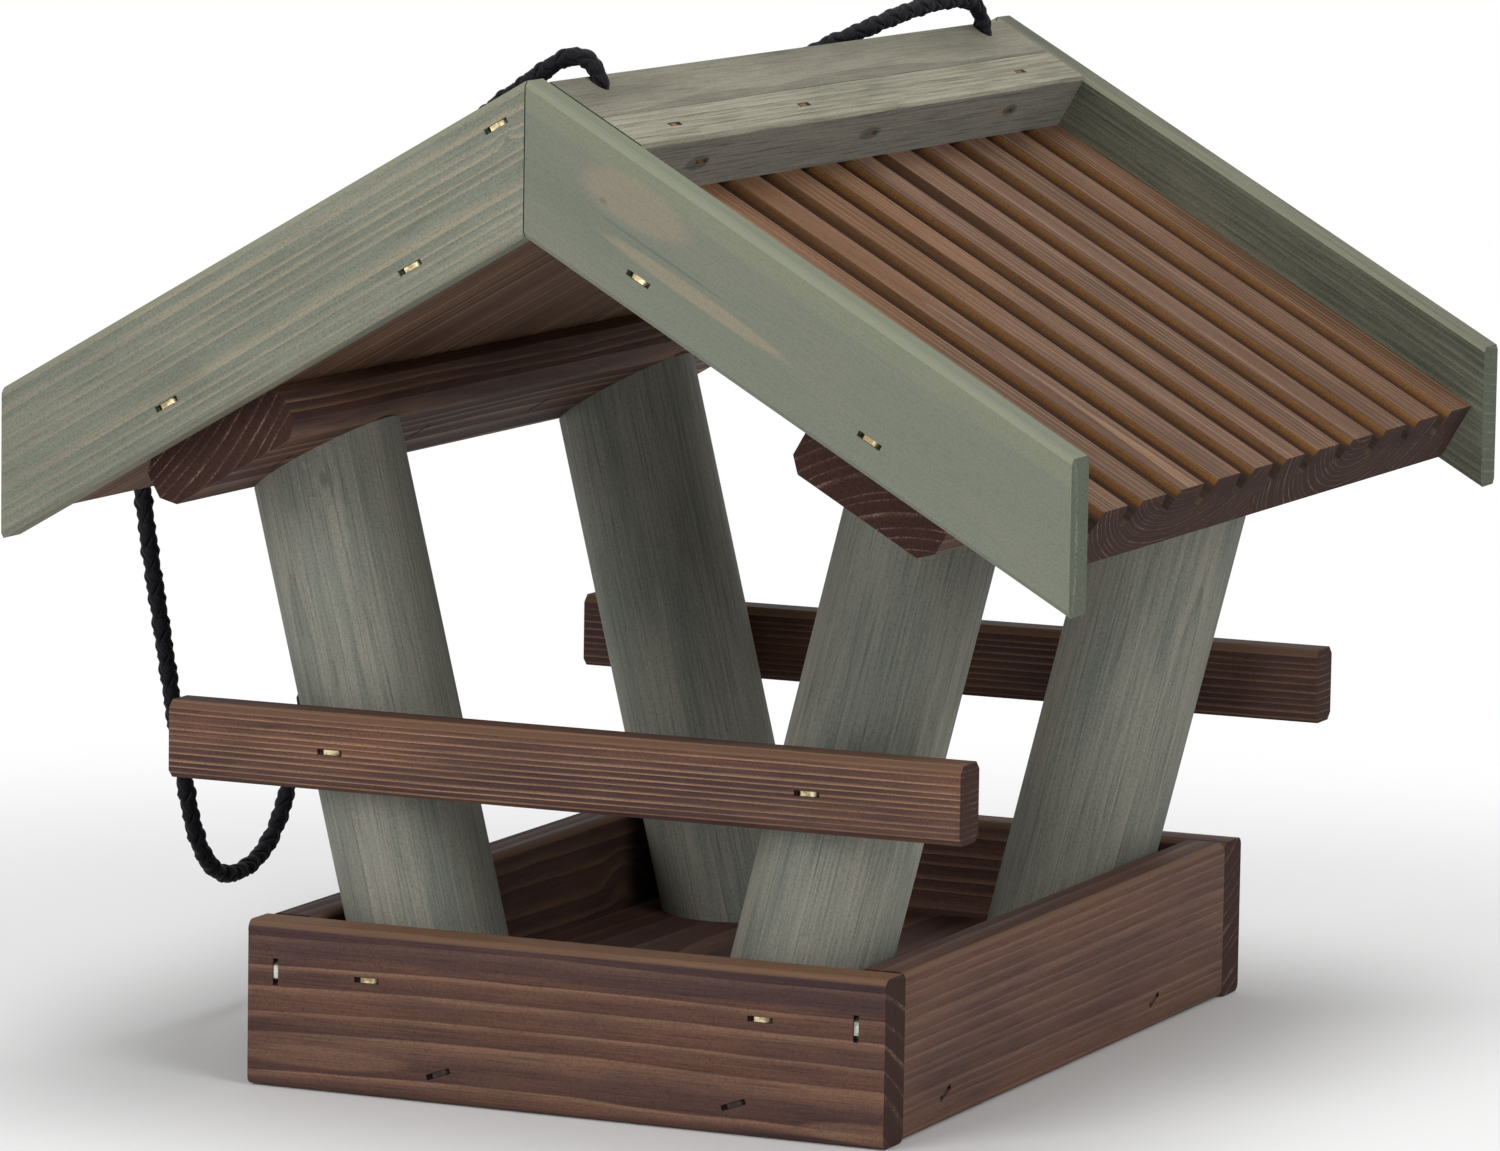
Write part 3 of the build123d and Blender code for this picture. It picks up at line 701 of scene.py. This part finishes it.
def rope_centreline():
    """Points along the smooth line that the rope's route steers."""
    curve = bpy.data.curves.new("rope_route", "CURVE")
    curve.dimensions = "3D"
    spline = curve.splines.new("NURBS")
    spline.points.add(len(rope_route) - 1)
    for point, place in zip(spline.points, rope_route):
        point.co = (*place, 1.0)
    spline.order_u = 3
    spline.use_endpoint_u = True
    spline.resolution_u = 24
    holder = bpy.data.objects.new("rope_route", curve)
    bpy.context.scene.collection.objects.link(holder)
    bpy.context.view_layer.update()
    evaluated = holder.evaluated_get(bpy.context.evaluated_depsgraph_get())
    line = bpy.data.meshes.new_from_object(evaluated)
    points = [vertex.co.copy() for vertex in line.vertices]
    bpy.data.objects.remove(holder)
    bpy.data.curves.remove(curve)
    bpy.data.meshes.remove(line)
    return points


def along_line(points, step):
    """The line's points at a nearly even step, each with its distance along the line."""
    lengths = [0.0]
    for a, b in zip(points, points[1:]):
        lengths.append(lengths[-1] + (b - a).length)
    total = lengths[-1]
    count = max(2, round(total / step))
    places = []
    index = 0
    for i in range(count + 1):
        distance = total * i / count
        while index < len(points) - 2 and lengths[index + 1] < distance:
            index += 1
        share = (distance - lengths[index]) / max(lengths[index + 1] - lengths[index], 1e-9)
        places.append((points[index].lerp(points[index + 1], min(max(share, 0.0), 1.0)), distance))
    return places


def frames_along(places):
    """Two directions square to the line at each place, turning as little as they can."""
    tangents = []
    for i in range(len(places)):
        before = places[max(i - 1, 0)][0]
        after = places[min(i + 1, len(places) - 1)][0]
        tangents.append((after - before).normalized())
    side = tangents[0].orthogonal().normalized()
    frames = []
    for tangent in tangents:
        side = (side - tangent * side.dot(tangent)).normalized()
        frames.append((side.copy(), tangent.cross(side)))
    return frames


def braided_rope():
    """The rope as plaited strands, half turning one way and half the other. Gives the piece and
    the middle line that it follows."""
    places = along_line(rope_centreline(), 0.5 * MM)
    frames = frames_along(places)
    # A strand is oval, and goes over and under the others by the weave, so that the rope keeps its
    # diameter on average. The lumps in the strands are given in millimetres.
    half_width, half_thickness, weave = 1.8 * MM, 1.0 * MM, 0.35 * MM
    lay_radius = ROPE_DIAMETER / 2 + 0.2 * MM - half_thickness - weave / 2
    sides = 8
    verts, faces = [], []
    for way in (1, -1):
        for strand in range(ROPE_STRANDS_EACH_WAY):
            start = len(verts)
            for (place, distance), (side, up) in zip(places, frames):
                turn = 2 * math.pi * (way * distance / BRAID_PITCH + strand / ROPE_STRANDS_EACH_WAY)
                over = way * math.cos(2 * math.pi * distance / BRAID_PITCH * ROPE_STRANDS_EACH_WAY)
                lumps = 0.16 * math.sin(distance / (1.1 * MM)) + 0.12 * math.sin(distance / (1.9 * MM))
                out = side * math.cos(turn) + up * math.sin(turn)
                across = up * math.cos(turn) - side * math.sin(turn)
                middle = place + out * (lay_radius + weave * over + lumps * MM)
                for k in range(sides):
                    a = 2 * math.pi * k / sides
                    verts.append(
                        middle + out * half_thickness * math.cos(a) + across * half_width * math.sin(a)
                    )
            rings = len(places)
            for i in range(rings - 1):
                for k in range(sides):
                    a = start + i * sides + k
                    b = start + i * sides + (k + 1) % sides
                    faces.append((a, b, b + sides, a + sides))
            faces.append(tuple(start + k for k in reversed(range(sides))))
            faces.append(tuple(start + (rings - 1) * sides + k for k in range(sides)))
    mesh = bpy.data.meshes.new("braided_rope")
    mesh.from_pydata([tuple(v) for v in verts], [], faces)
    for polygon in mesh.polygons:
        polygon.use_smooth = True
    piece = bpy.data.objects.new("hanging_rope_braid", mesh)
    bpy.context.scene.collection.objects.link(piece)
    return piece, [tuple(place) for place, _ in places]


def braided_cord():
    """Black polypropylene braid: soft, slightly shiny filaments with 0.7 mm specks of lint."""
    material, tree, shader = new_material("black_polypropylene_braid")
    place = add(tree, "ShaderNodeTexCoord").outputs["Object"]
    lint = add(
        tree, "ShaderNodeTexNoise", {"Scale": 1400.0, "Detail": 3.0, "Roughness": 0.6}, Vector=place
    )
    blacks = [(0.3, "#07070a"), (0.55, "#0f0e14"), (0.78, "#201e28")]
    tone = add(tree, "ShaderNodeValToRGB", {"stops": blacks}, Fac=lint)
    tree.links.new(tone.outputs[0], shader.inputs["Base Color"])
    shader.inputs["Roughness"].default_value = 0.62
    shader.inputs["Specular IOR Level"].default_value = 0.12
    shader.inputs["Sheen Weight"].default_value = 0.05
    shader.inputs["Sheen Roughness"].default_value = 0.4
    bump = add(tree, "ShaderNodeBump", {"Strength": 0.4, "Distance": 0.15 * MM}, Height=lint)
    tree.links.new(bump.outputs["Normal"], shader.inputs["Normal"])
    return material


rope_material = braided_cord()
rope, rope_path = braided_rope()
rope.data.materials.append(rope_material)
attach(rope, "root")
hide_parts("hanging_rope")
for name in ("rope_knot_front", "rope_knot_rear"):
    finish_node(name, rope_material)

# The studio, in metres: the floor takes the object's shadow out to SHADOW_NEAR and fades to plain
# white by SHADOW_FAR
WHITE = (1, 1, 1, 1)
FLOOR_SIZE = 12.0
FLOOR_DROP = 0.3 * MM
SHADOW_NEAR, SHADOW_FAR = 0.24, 0.55
SOFT_LIGHT_ALL_ROUND = 0.32
OBJECT_MIDDLE = Vector((0, 0, 0.12))


def seen_rays(tree):
    """1 for the rays that see the backdrop, directly, mirrored or through something clear."""
    rays = add(tree, "ShaderNodeLightPath").outputs
    camera_ray, glossy_ray = rays["Is Camera Ray"], rays["Is Glossy Ray"]
    seen = add(tree, "ShaderNodeMath", {"operation": "MAXIMUM"}, i0=camera_ray, i1=glossy_ray)
    return add(
        tree, "ShaderNodeMath", {"operation": "MAXIMUM"}, i0=seen, i1=rays["Is Transmission Ray"]
    )


def white_sweep():
    """The floor: matt white paper that takes the shadow, and further out it is plain white."""
    bpy.ops.mesh.primitive_plane_add(size=FLOOR_SIZE, location=(0, 0, 0))
    floor = bpy.context.object
    floor.name = "studio_floor"
    floor.location.z = -FLOOR_DROP
    material, tree, paper = new_material("matt_white_paper")
    paper.inputs["Base Color"].default_value = linear("#f2f2f2")
    paper.inputs["Roughness"].default_value = 0.9
    place = add(tree, "ShaderNodeTexCoord").outputs["Object"]
    reach = add(tree, "ShaderNodeVectorMath", {"operation": "LENGTH"}, i0=place).outputs["Value"]
    fade = {"interpolation_type": "SMOOTHSTEP", 1: SHADOW_NEAR, 2: SHADOW_FAR}
    far = add(tree, "ShaderNodeMapRange", fade, i0=reach)
    far = add(tree, "ShaderNodeMath", {"operation": "MULTIPLY"}, i0=far, i1=seen_rays(tree))
    white = add(tree, "ShaderNodeEmission", {"Color": WHITE, "Strength": 1.0})
    mix = add(tree, "ShaderNodeMixShader", Fac=far, i1=paper, i2=white)
    output = next(node for node in tree.nodes if node.type == "OUTPUT_MATERIAL")
    tree.links.new(mix.outputs[0], output.inputs["Surface"])
    floor.data.materials.append(material)


def studio_world():
    """Soft light from all round, and plain white where the backdrop is seen."""
    world = bpy.data.worlds.new("studio")
    bpy.context.scene.world = world
    world.use_nodes = True
    tree = world.node_tree
    tree.nodes.clear()
    soft = add(tree, "ShaderNodeBackground", {"Color": WHITE, "Strength": SOFT_LIGHT_ALL_ROUND})
    white = add(tree, "ShaderNodeBackground", {"Color": WHITE, "Strength": 1.0})
    mix = add(tree, "ShaderNodeMixShader", Fac=seen_rays(tree), i1=soft, i2=white)
    add(tree, "ShaderNodeOutputWorld", Surface=mix)


def softbox(name, place, size, power):
    """A square studio lamp that faces the object, its place and size in metres, its power in watts."""
    lamp = bpy.data.lights.new(name, "AREA")
    lamp.shape = "SQUARE"
    lamp.size = size
    lamp.energy = power
    holder = bpy.data.objects.new(name, lamp)
    bpy.context.scene.collection.objects.link(holder)
    holder.location = place
    holder.rotation_euler = (OBJECT_MIDDLE - Vector(place)).to_track_quat("-Z", "Y").to_euler()


white_sweep()
studio_world()
softbox("softbox_front", (-0.6, -1.6, 0.7), 0.9, 14.0)
softbox("softbox_right", (1.5, -0.7, 0.8), 0.9, 11.0)
softbox("softbox_top", (0.15, 0.1, 1.8), 1.0, 16.0)

# The camera: its lens and image centre in the photograph's pixels, its sensor in millimetres, its
# place, and where its right, top and back point
PHOTO_WIDTH, PHOTO_HEIGHT = 1500, 1151
FOCAL_PIXELS = 8061.0
IMAGE_CENTRE = (733.0, 576.0)
SENSOR_WIDTH = 36.0
CAMERA_PLACE = Vector((845.5, -1916.0, 401.1)) * MM
CAMERA_RIGHT = (0.9122, 0.4095, 0.0156)
CAMERA_UP = (-0.0682, 0.1141, 0.9911)
CAMERA_BACK = (0.4041, -0.9051, 0.1320)


def gable_camera():
    """A long lens on the gable from the right, as in the photograph."""
    lens = bpy.data.cameras.new("camera")
    lens.sensor_width = SENSOR_WIDTH
    lens.lens = FOCAL_PIXELS / PHOTO_WIDTH * SENSOR_WIDTH
    lens.shift_x = (PHOTO_WIDTH / 2 - IMAGE_CENTRE[0]) / PHOTO_WIDTH
    lens.shift_y = (IMAGE_CENTRE[1] - PHOTO_HEIGHT / 2) / PHOTO_WIDTH
    lens.clip_end = 100.0
    camera = bpy.data.objects.new("camera", lens)
    bpy.context.scene.collection.objects.link(camera)
    turn = Matrix((CAMERA_RIGHT, CAMERA_UP, CAMERA_BACK)).transposed().to_4x4()
    camera.matrix_world = Matrix.Translation(CAMERA_PLACE) @ turn
    return camera


bpy.context.scene.camera = gable_camera()
bpy.context.scene.view_settings.view_transform = "Standard"
